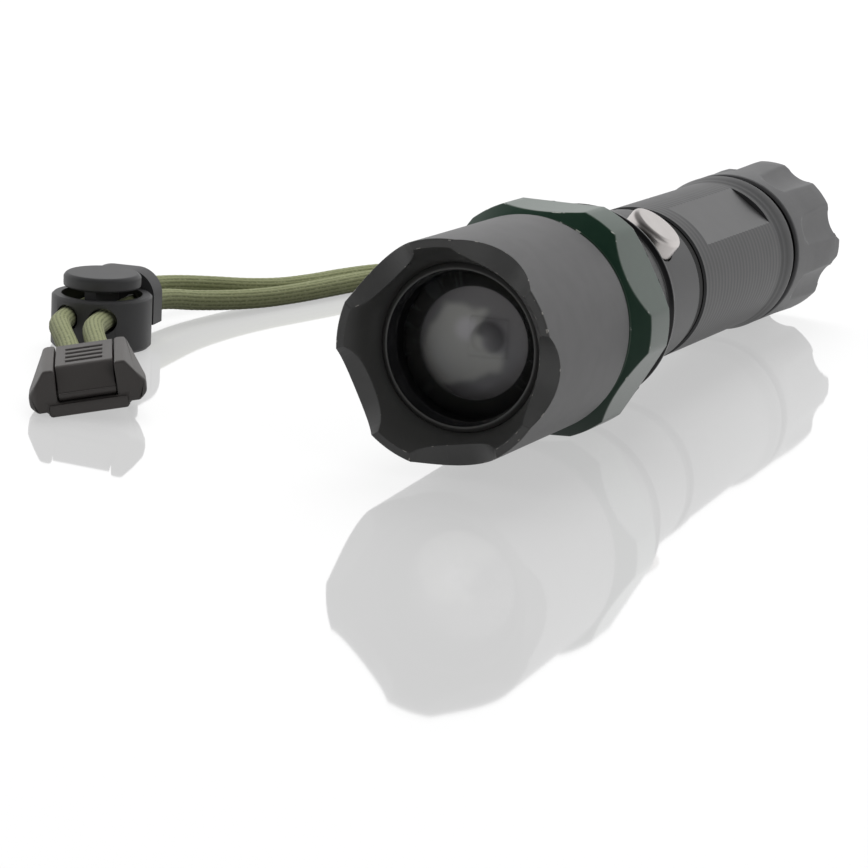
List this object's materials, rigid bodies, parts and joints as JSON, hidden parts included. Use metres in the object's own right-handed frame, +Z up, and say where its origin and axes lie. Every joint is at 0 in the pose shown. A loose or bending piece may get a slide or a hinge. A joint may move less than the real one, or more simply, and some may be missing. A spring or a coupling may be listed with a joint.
{
  "type": "zoom flashlight",
  "caption": "Aluminium flashlight with a sliding zoom head, scalloped rim, anti-roll ring, side switch, screw-on fluted tail cap and a wrist cord with lock and clip.",
  "frame": {"origin": "centre of the box round the flashlight without its cord, on the surface it lies on", "axes": "+Z up, +Y along the flashlight towards its tail, +X to the right seen from the front"},
  "size_m": [0.1255, 0.1853, 0.0405],
  "materials": {
    "sleeve_grey": "matte anodised",
    "ring_green": "satin anodised",
    "black_anodised": "gloss anodised",
    "lens_clear": "polished",
    "rubber_black": "matte",
    "spring_steel": "satin",
    "brass": "satin",
    "board_green": "satin",
    "board_white": "satin",
    "emitter_yellow": "gloss",
    "plastic_white": "matte",
    "plastic_black": "matte",
    "button_silver": "satin",
    "cell_wrap": "satin wrap",
    "cord_olive": "woven",
    "lock_plastic": "satin"
  },
  "bodies": {
    "tail": {"tail_cap": "sleeve_grey", "tail_contact": "brass", "tail_spring": "spring_steel", "lanyard_strand_a": "cord_olive", "lanyard_strand_b": "cord_olive", "cord_lock_body": "lock_plastic", "cord_lock_spring": "spring_steel", "clip_base": "lock_plastic", "clip_pin": "lock_plastic"},
    "cell": {"battery_cell": "cell_wrap", "cell_sleeve": "plastic_white"},
    "main": {"front_barrel": "sleeve_grey", "stop_ring": "spring_steel", "slide_oring": "rubber_black", "led_pill": "brass", "led_board": "board_white", "led_emitter": "emitter_yellow", "led_centring_ring": "plastic_white", "driver_board": "board_green", "switch_housing": "sleeve_grey", "switch_carrier": "plastic_black", "switch_board": "board_green", "tact_switch": "plastic_black", "contact_board": "board_green", "contact_spring": "spring_steel", "battery_tube": "sleeve_grey", "tube_oring": "rubber_black", "tail_oring": "rubber_black"},
    "head": {"zoom_sleeve": "sleeve_grey", "lens_ring": "black_anodised", "lens": "lens_clear", "lens_gasket": "rubber_black", "anti_roll_ring": "ring_green", "rear_collar": "black_anodised"},
    "button": {"switch_button": "button_silver", "button_oring": "rubber_black"},
    "plunger": {"cord_lock_plunger": "lock_plastic"},
    "cover": {"clip_cover": "lock_plastic"}
  },
  "joints": [
    {"name": "thread_advance", "type": "slide", "parent": "tail", "child": "cell", "axis": [0, -0.9994, 0.0346], "range_m": [0, 0.00502]},
    {"name": "tail_unscrew", "type": "hinge", "parent": "cell", "child": "main", "pos_m": [0, 0.03331, 0.01723], "axis": [0, -0.9994, 0.0346], "range_deg": [0, 1440]},
    {"name": "zoom", "type": "slide", "parent": "main", "child": "head", "axis": [0, -0.9994, 0.0346], "range_m": [0, 0.0115]},
    {"name": "button_press", "type": "slide", "parent": "main", "child": "button", "axis": [-0.5736, -0.0284, -0.8187], "range_m": [0, 0.0006], "stiffness_N_per_m": 1500, "springref_m": -0.0006},
    {"name": "plunger_press", "type": "slide", "parent": "tail", "child": "plunger", "axis": [0, 0, -1], "range_m": [0, 0.0014], "stiffness_N_per_m": 1200, "springref_m": -0.001, "deforming": ["cord_lock_spring"]},
    {"name": "cover_open", "type": "hinge", "parent": "tail", "child": "cover", "pos_m": [-0.06929, -0.07793, 0.00474], "axis": [0.8695, 0.4623, 0.1736], "range_deg": [0, 95]}
  ],
  "couplings": [
    {"joint": "thread_advance", "follows": "tail_unscrew", "m_per_rad": 0.00019894}
  ]
}
